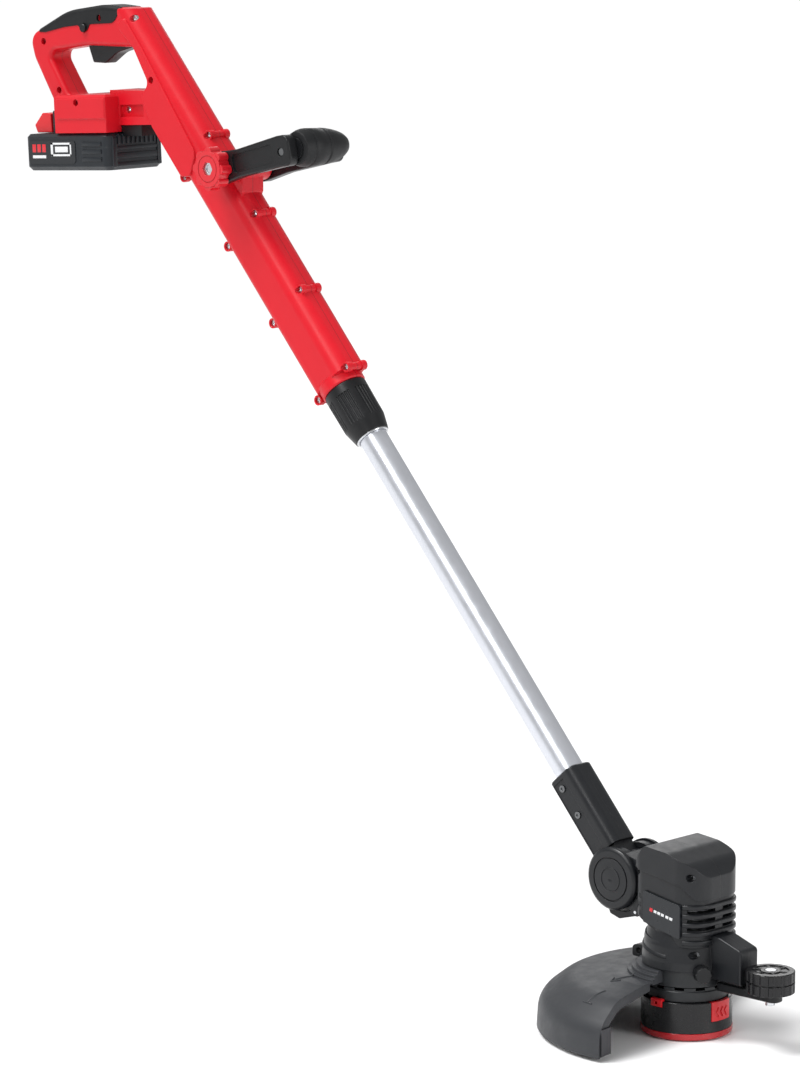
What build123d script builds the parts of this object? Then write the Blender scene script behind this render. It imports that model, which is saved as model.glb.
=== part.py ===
from build123d import *
import math
import os

# Cordless line trimmer that also edges lawns: battery handle, telescopic shaft, tilting head.
# Millimetres. The origin is the centre of the bump cap's foot, +Z runs up the spool's axis,
# +X points forward and the handle leans back towards -X. The tool is symmetric about y = 0
# apart from its guard, knob and label.

os.makedirs("parts", exist_ok=True)

# ---------------------------------------------------------------- driving dimensions
SHAFT_LEAN = 42.0            # shaft's angle from the vertical, degrees
PIVOT_X = -69.0              # head's tilt axis
PIVOT_Z = 133.0
TUBE_RADIUS = 14.0
TUBE_WALL = 1.4
TUBE_START = 34.0            # distances along the shaft are measured from the tilt axis
TUBE_END = 668.0
SLEEVE_START = 28.6
SLEEVE_END = 112.0
SLEEVE_HALF = 16.0
COLLAR_START = 497.0
COLLAR_END = 552.5
HOUSING_START = 553.0
HOUSING_TOP = 1004.0
HOUSING_REAR = -20.0         # housing section: rear face, front face and half width
HOUSING_FRONT = 27.0
HOUSING_HALF = 20.0
BAND_HALF = 22.0             # raised side bands of the upper housing
WALL = 2.8
BORE_FRONT = 22.6            # front wall of the bore, behind the shell screws
EAR_RADIUS = 5.0
AUX_S, AUX_T = 798.0, 36.0   # front handle's bolt, along and in front of the shaft
AUX_TILT = 14.0
AUX_REACH = 99.0
DOCK_X = -798.0              # centre of the battery's top face
DOCK_Z = 771.3
DOCK_PITCH = 3.5
DOCK_HALF = 37.0
PACK_HALF = 37.0
PACK_HEIGHT = 37.0
PACK_REAR = -64.0
PACK_FRONT = 64.0
GRIP_HALF = 15.0
GUARD_RADIUS = 136.0
GUARD_START = 112.0          # guard's sweep about the spool's axis, degrees from +X
GUARD_SWEEP = 164.0
CUP_RADIUS = 41.5
CUP_TOP = 35.5
CUP_BOTTOM = 7.2
CAP_RADIUS = 37.7
NECK_RADIUS = 41.0
NECK_BOTTOM = 64.0
WHEEL_X = 98.0
WHEEL_RADIUS = 22.0
WHEEL_BOTTOM = 55.0
WHEEL_TOP = 75.0
GAP = 0.3                    # room between moving pieces
FIT = 0.05                   # running clearance of pins and shafts

# ---------------------------------------------------------------- frames
LEAN_SIN = math.sin(math.radians(SHAFT_LEAN))
LEAN_COS = math.cos(math.radians(SHAFT_LEAN))
# Shaft frame: local X is forward of the shaft, local Z runs up it.
SHAFT = Plane(origin=(PIVOT_X, 0, PIVOT_Z), x_dir=(LEAN_COS, 0, LEAN_SIN), z_dir=(-LEAN_SIN, 0, LEAN_COS)).location
# Dock frame: local X runs forward along the battery's top face, local Z is up from it.
DOCK = Location((DOCK_X, 0, DOCK_Z), (0, -DOCK_PITCH, 0))


def on_shaft(s, t):
    """World (x, z) of a point s along the shaft and t in front of its axis."""
    return (PIVOT_X + t * LEAN_COS - s * LEAN_SIN, PIVOT_Z + t * LEAN_SIN + s * LEAN_COS)


def on_dock(u, w):
    """World (x, z) of a point u along the battery's top face and w above it."""
    pitch = math.radians(DOCK_PITCH)
    return (DOCK_X + u * math.cos(pitch) - w * math.sin(pitch), DOCK_Z + u * math.sin(pitch) + w * math.cos(pitch))


AUX_X, AUX_Z = on_shaft(AUX_S, AUX_T)


# ---------------------------------------------------------------- shape helpers
def block(x_from, x_to, y_from, y_to, z_from, z_to):
    centre = ((x_from + x_to) / 2, (y_from + y_to) / 2, (z_from + z_to) / 2)
    return Pos(*centre) * Box(x_to - x_from, y_to - y_from, z_to - z_from)


def rod_z(x, y, z_from, z_to, radius):
    return Pos(x, y, (z_from + z_to) / 2) * Cylinder(radius, z_to - z_from)


def rod_y(x, z, y_from, y_to, radius):
    return Pos(x, (y_from + y_to) / 2, z) * Rot(90, 0, 0) * Cylinder(radius, y_to - y_from)


def ring_z(z_from, z_to, inner, outer):
    return rod_z(0, 0, z_from, z_to, outer) - rod_z(0, 0, z_from - 1, z_to + 1, inner)


def outline(corners):
    """Face from (across, up, corner radius) triples."""
    points = [(across, up) for across, up, _ in corners]
    radii = [radius for _, _, radius in corners]
    return make_face(FilletPolyline(*points, radius=radii, close=True))


def side_slab(corners, y_from, y_to):
    """Outline in the XZ plane given thickness along Y."""
    face = Plane.XZ * outline(corners)
    return Pos(0, y_from, 0) * extrude(face, amount=y_to - y_from, dir=(0, 1, 0))


def plan_slab(corners, z_from, z_to):
    """Outline in the XY plane given height along Z."""
    return Pos(0, 0, z_from) * extrude(outline(corners), amount=z_to - z_from)


def soft_sides(solid, radius):
    """Round the edges of the two faces that end a side slab."""
    faces = solid.faces().sort_by(Axis.Y)
    return fillet(faces[0].edges() + faces[-1].edges(), radius)


def soft_ends(solid, radius):
    """Round the edges of the top and bottom faces of an upright solid."""
    faces = solid.faces().sort_by(Axis.Z)
    return fillet(faces[0].edges() + faces[-1].edges(), radius)


def lathe(profile, arc=360.0, start=0.0):
    """Turn (radius, height, corner radius) triples about Z."""
    face = Plane.XZ * outline(profile)
    return Rot(0, 0, start) * revolve(face, axis=Axis.Z, revolution_arc=arc)


def mirrored(solid):
    return mirror(solid, about=Plane.XZ)


def section(t_from, t_to, half, rear_radius, front_radius):
    """Rounded section across the shaft, flatter at the rear and rounder in front."""
    corners = [
        (t_from, -half, rear_radius),
        (t_to, -half, front_radius),
        (t_to, half, front_radius),
        (t_from, half, rear_radius),
    ]
    return outline(corners)


def along(face, s_from, s_to):
    """Extrude a section along the shaft, between two distances from the tilt axis."""
    return Pos(0, 0, s_from) * extrude(face, amount=s_to - s_from)


def right_half(solid):
    return solid & block(-1200, 300, -200, 0, -50, 1200)


def left_half(solid):
    return solid & block(-1200, 300, 0, 200, -50, 1200)


def side_screw(x, z, y_head, length, head_radius=3.3, shank_radius=1.6):
    """Screw entering from the right-hand side, with a hex socket in its head."""
    head = rod_y(x, z, y_head, y_head + 2.4, head_radius)
    socket = Pos(x, y_head, z) * Rot(90, 0, 0) * extrude(RegularPolygon(1.7, 6), amount=1.4, both=True)
    shank = rod_y(x, z, y_head + 2.3, y_head + length, shank_radius)
    return head - socket + shank


def side_screw_room(x, z, y_face, y_head, length, head_radius=3.5, shank_radius=1.65):
    """Counterbore from the face down to the head, and the hole for the shank."""
    well = rod_y(x, z, y_face - 3, y_head + 2.45, head_radius)
    return well + rod_y(x, z, y_head + 2.3, y_head + length + 0.5, shank_radius)


# ---------------------------------------------------------------- handle housing
# Each screw: x, z, outer face (y), head (y) and length.
def handle_screw_places():
    places = []
    for s in (845.0, 748.0, 655.0, 562.0):
        x, z = on_shaft(s, 26.2)
        places.append((x, z, -12.5, -10.5, 20.0))
    for s, t in ((836.0, -28.0), (747.0, -24.5), (653.0, -24.5), (560.0, -24.5)):
        x, z = on_shaft(s, t)
        places.append((x, z, -14.0, -12.0, 22.0))
    places.append((-855.0, 860.0, -15.0, -6.5, 16.0))
    places.append((-770.0, 886.5, -17.0, -9.0, 18.0))
    places.append((-718.0, 888.0, -21.0, -14.0, 23.0))
    places.append((-687.0, 829.0, -23.0, -15.5, 27.0))
    places.append((-832.0, 812.0, -15.0, -6.5, 16.0))
    places.append((-727.0, 798.0, -20.0, -13.5, 23.0))
    dock_x, dock_z = on_dock(19.0, 30.5)
    places.append((dock_x, dock_z, -39.0, -32.0, 22.0))
    return places


GRIP_TOP = [(-718, 897, 16), (-765, 899.5, 90), (-820, 891.5, 90), (-878, 865, 13)]
WINDOW = [(-850, 850, 7), (-790, 858.5, 70), (-716, 859.5, 5), (-695, 826, 8), (-704, 813.5, 7), (-818, 807.5, 8)]


def tube_housing():
    """Long part around the shaft, cut to the handle's rounded top corner."""
    body = SHAFT * along(section(HOUSING_REAR, HOUSING_FRONT, HOUSING_HALF, 8, 14), HOUSING_START + 9, HOUSING_TOP + 40)
    front_low = on_shaft(540, 40)
    front_mid = on_shaft(950, HOUSING_FRONT + 4)
    rear_low = on_shaft(540, -40)
    rear_top = on_shaft(905, -24)
    envelope = [
        (*rear_low, 0),
        (*front_low, 0),
        (*front_mid, 30),
        (-712, 897.5, 17),
        (-738, 897.5, 3),
        (-736, 880, 10),
        (-712, 860, 3),
        (-690, 826, 8),
        (-700, 812, 6),
        (*rear_top, 0),
    ]
    return body & side_slab(envelope, -30, 30)


def side_band():
    """Raised flat band on both sides of the upper housing."""
    corners = [
        (*on_shaft(826, -14), 6),
        (*on_shaft(838, 8), 10),
        (*on_shaft(960, 17), 60),
        (-728, 891, 6),
        (-737, 880, 6),
        (-712.5, 859, 6),
        (-691.5, 826, 8),
        (-702, 811, 6),
        (*on_shaft(896, -24), 4),
        (*on_shaft(834, -24), 6),
    ]
    return soft_sides(side_slab(corners, -BAND_HALF, BAND_HALF), 1.2)


def d_frame():
    """Grip, rear strut and the bar over the dock, around the hand opening."""
    corners = GRIP_TOP + [
        (-871, 843, 30),
        (-842, 800, 6),
        (*on_dock(-16, 16), 0),
        (*on_dock(104, 16), 0),
        (*on_shaft(880, 16), 0),
        (*on_shaft(985, 20), 0),
    ]
    return soft_sides(side_slab(corners, -GRIP_HALF, GRIP_HALF) - side_slab(WINDOW, -40, 40), 5.0)


def battery_dock():
    """Wide block that holds the battery, with a raised panel on each side."""
    body = DOCK * block(-15, 62, -DOCK_HALF, DOCK_HALF, 0.4, 38)
    body = chamfer(body.faces().sort_by(Axis.Z)[-1].edges(), 2.5)
    panel = DOCK * (block(-11, 61, -DOCK_HALF - 1.2, DOCK_HALF + 1.2, 14, 35))
    panel = chamfer(panel.edges().filter_by(Axis.Y, reverse=True), 1.0)
    web = side_slab([(*on_dock(50, 7), 0), (*on_dock(112, 7), 0), (*on_dock(118, 40), 0), (*on_dock(50, 42), 0)], -19, 19)
    for side in (-1, 1):
        web = web - DOCK * block(63.5, 98, side * 17.6 - 2.2, side * 17.6 + 2.2, 15, 27)
    return body + panel + web


def aux_bracket():
    """Post and cross hub in front of the housing that carry the front handle."""
    foot_x, foot_z = on_shaft(770, 22)
    back_x, back_z = on_shaft(812, 20)
    corners = [
        (AUX_X - 14, AUX_Z + 5, 3),
        (AUX_X + 11, AUX_Z + 8, 3),
        (AUX_X + 11, foot_z + 6, 4),
        (foot_x - 4, foot_z - 8, 0),
        (back_x - 4, back_z, 0),
    ]
    post = side_slab(corners, -14, 14)
    return post + rod_y(AUX_X, AUX_Z, -23, 23, 15)


def screw_ears():
    """Bow-tie bosses where the two shells are screwed together along the shaft."""
    ears = []
    for x, z, y_face, _, _ in handle_screw_places()[:8]:
        ears.append(rod_y(x, z, y_face, y_face + 6, EAR_RADIUS))
        ears.append(rod_y(x, z, -y_face - 6, -y_face, EAR_RADIUS))
        ears.append(rod_y(x, z, y_face + 5, -y_face - 5, EAR_RADIUS - 1.2))
    return ears


def end_ring():
    """Plain ring at the housing's lower end, against the twist collar."""
    ring = rod_z(0, 0, HOUSING_START, HOUSING_START + 12, 22.6)
    return SHAFT * chamfer(ring.edges().filter_by(GeomType.CIRCLE), 1.2)


GRIP_HOLLOW = [(-866, 856, 4), (-716, 864.5, 2), (-709, 884, 6), (-765, 893, 60), (-820, 885, 60), (-866, 864, 4)]
STRUT_HOLLOW = [(-867, 848, 4), (-841, 806, 3), (-830, 812, 3), (-855, 853, 4)]


def handle_hollows():
    """Spaces inside the two handle shells."""
    bore = SHAFT * along(section(HOUSING_REAR + WALL, BORE_FRONT, HOUSING_HALF - WALL, 5.5, 11), HOUSING_START + 14, 890)
    mouth = SHAFT * rod_z(0, 0, HOUSING_START - 1, HOUSING_START + 15, 18.2)
    upper = [
        (*on_shaft(882, 22), 4),
        (*on_shaft(978, 22), 6),
        (-724, 884, 4),
        (-708, 862, 3),
        (-687, 826, 18),
        (*on_shaft(889, -16), 3),
    ]
    grip = side_slab(GRIP_HOLLOW, -10.5, 10.5)
    strut = side_slab(STRUT_HOLLOW, -9.5, 9.5)
    slot = block(-801, -728, -8.2, 8.2, 848, 870)
    rail = DOCK * block(-30, 56, -25, 25, -1, 15.5)
    roof = DOCK * block(-11, 57, -33.5, 33.5, 18.5, 34)
    passage = side_slab([(*on_dock(50, 20), 0), (*on_dock(100, 20), 0), (*on_dock(100, 30), 0), (*on_dock(50, 30), 0)], -12, 12)
    terminal_hole = DOCK * block(55.9, 63.1, -15.1, 15.1, 1.9, 14.1)
    lock_slot = SHAFT * block(-24, -14, -6.2, 6.2, 609, 640)
    return [bore, mouth, side_slab(upper, -12.5, 12.5), grip, strut, slot, rail, roof, passage, terminal_hole, lock_slot]


def overmold_blank(grow):
    """Region of the soft grip, grown or shrunk all round."""
    corners = [
        (-738 + grow, 897.6 + grow, 2),
        (-765, 899.5 + grow, 90),
        (-820, 891.5 + grow, 90),
        (-869, 868.6 + grow, 2),
        (-851, 869.5, 6),
        (-824, 875.5, 20),
        (-801, 878.5, 4),
        (-797, 873.5, 2),
        (-788, 873.5, 2),
        (-784, 880, 4),
        (-748, 882.5, 12),
    ]
    return side_slab(corners, -GRIP_HALF - grow, GRIP_HALF + grow)


def overmold_core():
    """Grip surface under the soft cover."""
    corners = [(-722, 890, 4), (-765, 896.5, 90), (-820, 888.5, 90), (-872, 864, 4), (-872, 850, 4), (-722, 862, 4)]
    return soft_sides(side_slab(corners, -GRIP_HALF + 2.2, GRIP_HALF - 2.2), 4.0)


def aux_bolt():
    """Carriage bolt through the bracket's hub, its head on the left."""
    shank = rod_y(AUX_X, AUX_Z, -47, 37.2, 4.0)
    head = rod_y(AUX_X, AUX_Z, 37.0, 40.5, 8.5)
    return shank + chamfer(head.edges().filter_by(GeomType.CIRCLE), 1.0)


def handle_parts():
    outer = tube_housing() + side_band() + d_frame() + battery_dock() + aux_bracket() + end_ring()
    for ear in screw_ears():
        outer = outer + ear
    for hollow in handle_hollows():
        outer = outer - hollow
    overmold = (overmold_blank(0.7) & d_frame_grown()) - overmold_core()
    outer = outer - overmold
    outer = outer - rod_y(AUX_X, AUX_Z, -60, 60, 4.0 + FIT)
    outer = outer - rod_y(-735.0, 866.5, -12.6, 12.6, 2.0)
    outer = outer - lock_off_room()
    places = handle_screw_places()
    for x, z, y_face, y_head, length in places:
        room = side_screw_room(x, z, y_face, y_head, length)
        outer = outer - room
        overmold = overmold - room
    overmold = overmold - lock_off_room()
    screws = [side_screw(x, z, y_head, length) for x, z, _, y_head, length in places]
    return outer, overmold, screws


def d_frame_grown():
    """Envelope of the soft grip with rounded sides."""
    corners = [(-725, 898.2, 3), (-765, 900.2, 90), (-820, 892.2, 90), (-877, 866.2, 6), (-877, 850, 3), (-725, 850, 3)]
    return soft_sides(side_slab(corners, -GRIP_HALF - 0.7, GRIP_HALF + 0.7), 5.4)


LOCK_OFF_X, LOCK_OFF_Z = -792.5, 876.0


def lock_off_room():
    return rod_y(LOCK_OFF_X, LOCK_OFF_Z, -25, 25, 4.2 + GAP)


def lock_off_button():
    """Cross bolt that blocks the trigger until it is pushed sideways."""
    bolt = rod_y(LOCK_OFF_X, LOCK_OFF_Z, -18.5, 15.2, 4.2)
    bolt = chamfer(bolt.edges().filter_by(GeomType.CIRCLE), 0.8)
    return bolt - block(LOCK_OFF_X - 6, LOCK_OFF_X + 6, -4, 6, LOCK_OFF_Z - 5, LOCK_OFF_Z - 1.5)


TRIGGER_PIN_X, TRIGGER_PIN_Z = -735.0, 866.5


def trigger():
    """Finger lever under the grip, hinged at its front end."""
    corners = [
        (-729.5, 869.5, 2),
        (-740, 869.5, 2),
        (-797, 866.5, 1),
        (-794.5, 856, 3),
        (-788, 841.5, 2),
        (-770, 841.5, 5),
        (-752, 853, 30),
        (-729.5, 859, 2),
    ]
    lever = soft_sides(side_slab(corners, -7.6, 7.6), 1.4)
    return lever - rod_y(TRIGGER_PIN_X, TRIGGER_PIN_Z, -20, 20, 2.0 + FIT)


def trigger_spring():
    """Small coil between the trigger and the switch, drawn as a sleeve."""
    return rod_z(-750, 0, 869.4, 871.4, 2.6) - rod_z(-750, 0, 860, 880, 1.8)


def switch_box():
    """Main switch above the trigger."""
    return block(-784, -744, -8, 8, 871.5, 881) + block(-766, -758, -3, 3, 870.9, 872)


def terminal_block():
    """Black block at the front of the dock that carries the battery contacts."""
    foot = DOCK * (block(62.4, 92, -17, 17, 0.4, 6.6) + block(64.6, 92, -17, 17, -4, 0.5))
    return foot + DOCK * block(56, 63, -15, 15, 2, 14)


def terminal_blades():
    blades = [DOCK * block(44, 56, y - 0.5, y + 0.5, 4, 11) for y in (-10.0, -3.5, 3.5, 10.0)]
    return blades


# ---------------------------------------------------------------- collar and lock
def twist_collar():
    """Fluted sleeve that clamps the shaft, tapering towards the tube."""
    profile = [
        (18.6, COLLAR_END, 0),
        (21.7, COLLAR_END, 1.2),
        (21.2, COLLAR_START + 16, 12),
        (17.4, COLLAR_START, 1.2),
        (14.6, COLLAR_START, 0),
        (14.6, COLLAR_START + 6, 0),
        (18.6, COLLAR_START + 12, 0),
    ]
    body = lathe(profile)
    for group in range(6):
        for flute in range(-2, 3):
            angle = group * 60 + flute * 9.0
            cut = Rot(0, 0, angle) * rod_z(22.0, 0, COLLAR_START + 14, COLLAR_END - 9, 1.35)
            body = body - cut
    return SHAFT * body


def tube_collet():
    """Slotted ring that the collar squeezes onto the tube."""
    ring = rod_z(0, 0, COLLAR_START + 14, HOUSING_START + 14.8, 18.0) - rod_z(0, 0, 0, 700, TUBE_RADIUS + 0.12)
    for turn in range(4):
        ring = ring - Rot(0, 0, 45 + turn * 90) * block(12, 20, -0.8, 0.8, COLLAR_START + 10, COLLAR_START + 44)
    return SHAFT * ring


def shaft_lock_button():
    """Flat push tab behind the housing that frees the shaft's turn."""
    tab = block(-24.6, -19.6, -5.8, 5.8, 610, 639)
    tab = chamfer(tab.edges().filter_by(Axis.X), 1.0)
    stem = block(-20, -16.4, -3.5, 3.5, 618, 631)
    return SHAFT * (tab + stem)


# ---------------------------------------------------------------- front handle
def aux_point(reach, lift):
    """World (x, z) of a point in the front handle's own tilted frame."""
    tilt = math.radians(AUX_TILT)
    return (AUX_X + reach * math.cos(tilt) - lift * math.sin(tilt), AUX_Z + reach * math.sin(tilt) + lift * math.cos(tilt))


def aux_frame():
    """Two arms and a cross tube, moulded in one."""
    corners = [
        (*aux_point(-17.5, 17.5), 14.0),
        (*aux_point(30, 13), 20),
        (*aux_point(AUX_REACH - 12, 15), 4),
        (*aux_point(AUX_REACH + 3, 14), 8),
        (*aux_point(AUX_REACH + 3, -16), 8),
        (*aux_point(AUX_REACH - 14, -15), 6),
        (*aux_point(30, -14), 20),
        (*aux_point(-17.5, -17.5), 14.0),
    ]
    frame = None
    for side in (-1, 1):
        y_inner, y_outer = 24.5, 36.5
        y_from, y_to = (y_inner, y_outer) if side > 0 else (-y_outer, -y_inner)
        arm = soft_sides(side_slab(corners, y_from, y_to), 2.0)
        hollow = [
            (*aux_point(22, 8.5), 3),
            (*aux_point(AUX_REACH - 20, 9), 3),
            (*aux_point(AUX_REACH - 20, -9.5), 3),
            (*aux_point(22, -9), 3),
        ]
        y_skin = y_to if side > 0 else y_from
        recess = side_slab(hollow, min(y_skin, y_skin - side * 1.6), max(y_skin, y_skin - side * 1.6))
        arm = arm - recess - rod_y(AUX_X, AUX_Z, -60, 60, 4.0 + FIT)
        frame = arm if frame is None else frame + arm
    core_x, core_z = aux_point(AUX_REACH, 0)
    frame = frame + rod_y(core_x, core_z, -25, 25, 10)
    for side in (-1, 1):
        x, z = aux_point(AUX_REACH - 9, -1)
        frame = frame - rod_y(x, z, side * 36.5 - 4, side * 36.5 + 4, 4.2)
    return frame


def aux_grip():
    """Rounded hand grip over the cross tube, with two ring seams."""
    core_x, core_z = aux_point(AUX_REACH, 0)
    half = 24.2
    profile = [(10.05, -half, 0), (17.0, -half, 1.5), (18.6, 0, 90), (17.0, half, 1.5), (10.05, half, 0)]
    body = revolve(outline(profile), axis=Axis.Y)
    for seam in (-9.0, 9.0):
        ring = Pos(0, seam, 0) * Rot(90, 0, 0) * (Cylinder(22, 0.9) - Cylinder(17.7, 3))
        body = body - ring
    return Pos(core_x, 0, core_z) * body


def aux_screws():
    """Screw at each end of the front handle's cross tube."""
    screws = []
    x, z = aux_point(AUX_REACH - 9, -1)
    for side in (-1, 1):
        head = rod_y(x, z, side * 34.0 - 1.4, side * 34.0 + 1.4, 3.6)
        screws.append(head)
    return screws


def aux_knob():
    """Eight-lobed clamping knob on the right."""
    body = rod_y(AUX_X, AUX_Z, -50.0, -36.9, 17.5)
    for lobe in range(8):
        angle = math.radians(lobe * 45)
        body = body + rod_y(AUX_X + 16.5 * math.cos(angle), AUX_Z + 16.5 * math.sin(angle), -49.5, -37.2, 4.6)
    rim = rod_y(AUX_X, AUX_Z, -51, -49.2, 13.2) - rod_y(AUX_X, AUX_Z, -52, -49.0, 12.3)
    body = body - rim
    body = body - Pos(AUX_X, -50.0, AUX_Z) * Rot(90, 0, 0) * extrude(RegularPolygon(7.0, 6), amount=9.2, both=True)
    return body - rod_y(AUX_X, AUX_Z, -60, -30, 4.0 + FIT)


def aux_nut():
    """Steel hex nut pressed into the knob."""
    nut = Pos(AUX_X, -44.9, AUX_Z) * Rot(90, 0, 0) * extrude(RegularPolygon(6.95, 6), amount=3.2, both=True)
    return nut - rod_y(AUX_X, AUX_Z, -60, -30, 4.0 + FIT)


# ---------------------------------------------------------------- battery
def pack_plan(inset):
    """Plan outline of the battery case, drawn in from its outer walls."""
    rear, front, half = PACK_REAR + inset, PACK_FRONT - inset, PACK_HALF - inset
    corner = 9.0 - inset
    return [(rear, -half, corner), (front, -half, corner), (front, half, corner), (rear, half, corner)]


def pack_lower():
    """Lower half of the battery case, with stepped corners."""
    split = -14.0
    body = plan_slab(pack_plan(0.0), -PACK_HEIGHT, split)
    body = chamfer(body.faces().sort_by(Axis.Z)[0].edges(), 4.0)
    return DOCK * (body - plan_slab(pack_plan(WALL), -PACK_HEIGHT + 3.4, split + 1))


def pack_upper():
    """Upper half of the case with the rail that slides into the dock."""
    split = -14.0
    body = plan_slab(pack_plan(0.0), split, -0.3)
    body = chamfer(body.faces().sort_by(Axis.Z)[-1].edges(), 3.0)
    rail = block(-31, 55, -24.4, 24.4, -2, 14.6) - block(-40, 70, -40, -20.5, 1, 8) - block(-40, 70, 20.5, 40, 1, 8)
    tower = block(-33.2, -29.4, -23.5, 23.5, -1, 22.5)
    tower = chamfer(tower.edges().filter_by(Axis.Y).sort_by(Axis.Z)[-2:], 1.2)
    body = body + rail + tower
    body = body - plan_slab(pack_plan(WALL), split - 1, -3.0)
    body = body - block(-27, 52, -17, 17, -4, 11.8)
    for slot in (-10.0, -3.5, 3.5, 10.0):
        body = body - block(40, 60, slot - 1.4, slot + 1.4, 3.2, 12.2)
    return DOCK * body


def pack_cells():
    """Five round cells lying across the case."""
    cells = []
    for index in range(5):
        x = -38.5 + index * 19.2
        cells.append(DOCK * (Pos(x, 0, -22.6) * Rot(90, 0, 0) * Cylinder(9.1, 65)))
    return cells


def pack_board():
    """Protection board above the cells."""
    return DOCK * block(-26, 38, -16, 16, -2.5, -0.9)


def pack_terminals():
    """Sockets that the dock's blades enter."""
    clips = []
    for y in (-10.0, -3.5, 3.5, 10.0):
        clip = block(36, 51, y - 1.8, y - 0.8, -0.9, 10)
        clip = clip + block(36, 51, y + 0.8, y + 1.8, -0.9, 10) + block(34, 36.2, y - 1.8, y + 1.8, -0.9, 10)
        clips.append(DOCK * clip)
    return clips


def pack_labels():
    """Plain printed plate on each long side."""
    plate = [(-57, -30, 5), (14, -30, 4), (14, -7, 4), (-57, -7, 5)]
    labels = []
    for side in (-1, 1):
        y = side * (PACK_HALF + 0.3)
        labels.append(DOCK * side_slab(plate, y - 0.25, y + 0.25))
    return labels


def release_button():
    """Ridged wedge that unlatches the battery."""
    corners = [(-62, 8.5, 2), (-49.5, 20.5, 3), (-37, 19.5, 1), (-36, 0.6, 0.5), (-58.5, 0.6, 2)]
    body = soft_sides(side_slab(corners, -23.5, 23.5), 1.0)
    for ridge in range(5):
        at = 0.18 + 0.16 * ridge
        x, z = -62 + 12.5 * at, 8.5 + 12 * at
        body = body - Pos(x, 0, z) * Rot(0, 46, 0) * Box(1.8, 60, 1.5)
    return DOCK * body


# ---------------------------------------------------------------- shaft
def guide_bush():
    """Plastic slider, keyed in the housing, in which the tube can turn."""
    face = section(HOUSING_REAR + WALL + GAP, BORE_FRONT - GAP, HOUSING_HALF - WALL - GAP, 5.2, 10.7)
    body = along(face, TUBE_END - 30, TUBE_END) - rod_z(0, 0, 500, 700, TUBE_RADIUS + FIT)
    return SHAFT * (body - block(-20, -13.9, -4, 4, 600, 700))


SLEEVE_SCREWS = (100.0, 71.0)


def shaft_tube():
    tube = rod_z(0, 0, TUBE_START, TUBE_END + 8, TUBE_RADIUS) - rod_z(0, 0, 0, 700, TUBE_RADIUS - TUBE_WALL)
    for s in SLEEVE_SCREWS:
        tube = tube - rod_y(-5.5, s, -15, -11, 1.55)
    return SHAFT * tube


def sleeve():
    """Lower sleeve with the eye that turns in the head's barrel."""
    body = along(section(-SLEEVE_HALF, SLEEVE_HALF + 1, SLEEVE_HALF, 4, 9), SLEEVE_START, SLEEVE_END)
    body = chamfer(body.faces().sort_by(Axis.Z)[-1].edges(), 1.5)
    for side in (-1, 1):
        panel = block(-13.5, 2, side * SLEEVE_HALF - 1, side * SLEEVE_HALF + 1, SLEEVE_START + 4, SLEEVE_END - 5)
        body = body - panel
    body = body + block(-12, 12, -12, 12, 12, SLEEVE_START + 3)
    eye = Rot(90, 0, 0) * Cylinder(22.0, 29)
    body = body + eye - rod_z(0, 0, TUBE_START - 0.2, 200, TUBE_RADIUS)
    body = body - Rot(90, 0, 0) * Cylinder(5.0 + FIT, 60)
    for s in SLEEVE_SCREWS:
        body = body - rod_y(-5.5, s, -20, -14.65, 3.45) - rod_y(-5.5, s, -15, -11, 1.55)
    return SHAFT * body


def sleeve_screws():
    """Screws through the sleeve into the tube."""
    screws = []
    for s in SLEEVE_SCREWS:
        head = rod_y(-5.5, s, -16.2, -14.65, 3.3)
        socket = Pos(-5.5, -16.2, s) * Rot(90, 0, 0) * extrude(RegularPolygon(1.6, 6), amount=0.9, both=True)
        screws.append(SHAFT * (head - socket + rod_y(-5.5, s, -14.7, -11.2, 1.5)))
    return screws


# ---------------------------------------------------------------- head
def head_column():
    """Motor housing: rounded square plan cut to its side outline."""
    plan = [(-38, -36, 12), (38.5, -36, 24), (38.5, 36, 24), (-38, 36, 12)]
    side = [(-38, 112, 4), (10, 87.5, 12), (40, 86.5, 1), (40, 150, 20), (30, 163.5, 18), (6, 171.5, 30), (-22, 174, 5), (-38, 152, 6)]
    body = plan_slab(plan, 80, 180) & side_slab(side, -40, 40)
    waist_plan = [(-40, -37, 12), (40, -37, 24), (40, 37, 24), (-40, 37, 12)]
    slim_plan = [(-36.5, -34.5, 12), (37, -34.5, 23), (37, 34.5, 23), (-36.5, 34.5, 12)]
    trim = plan_slab(waist_plan, 80, 160) - plan_slab(slim_plan, 79, 161)
    under_cap = [(-45, 84, 0), (45, 84, 0), (45, 129.5, 0), (33, 131, 0), (21, 143.5, 0), (-24, 150.5, 0), (-45, 151, 0)]
    body = body - (trim & side_slab(under_cap, -40, 40))
    return body


def vent_slots():
    """Three cooling slots wrap each front corner."""
    slots = []
    for z in (102.5, 110.5, 118.5):
        slots.append(block(20, 50, -31, -5, z, z + 3.2))
        slots.append(block(20, 50, 5, 31, z, z + 3.2))
    return slots


def front_ribs():
    """Raised bands around the lower front of the motor housing."""
    plan = [(-30, -36, 12), (39.6, -36, 24), (39.6, 36, 24), (-30, 36, 12)]
    ribs = []
    for z in (89.5, 97.5, 105.9, 113.9, 122.2):
        rib = soft_ends(plan_slab(plan, z, z + 4.2), 1.2)
        ribs.append(rib & block(23.2, 45, -40, 40, 80, 140))
    return ribs


def head_neck():
    """Round lower housing around the gearless drive shaft."""
    profile = [(0, NECK_BOTTOM, 0), (NECK_RADIUS, NECK_BOTTOM, 1), (NECK_RADIUS, 72, 6), (39.2, 86, 8), (35.5, 98, 3), (35.5, 118, 0), (0, 118, 0)]
    return lathe(profile)


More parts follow.
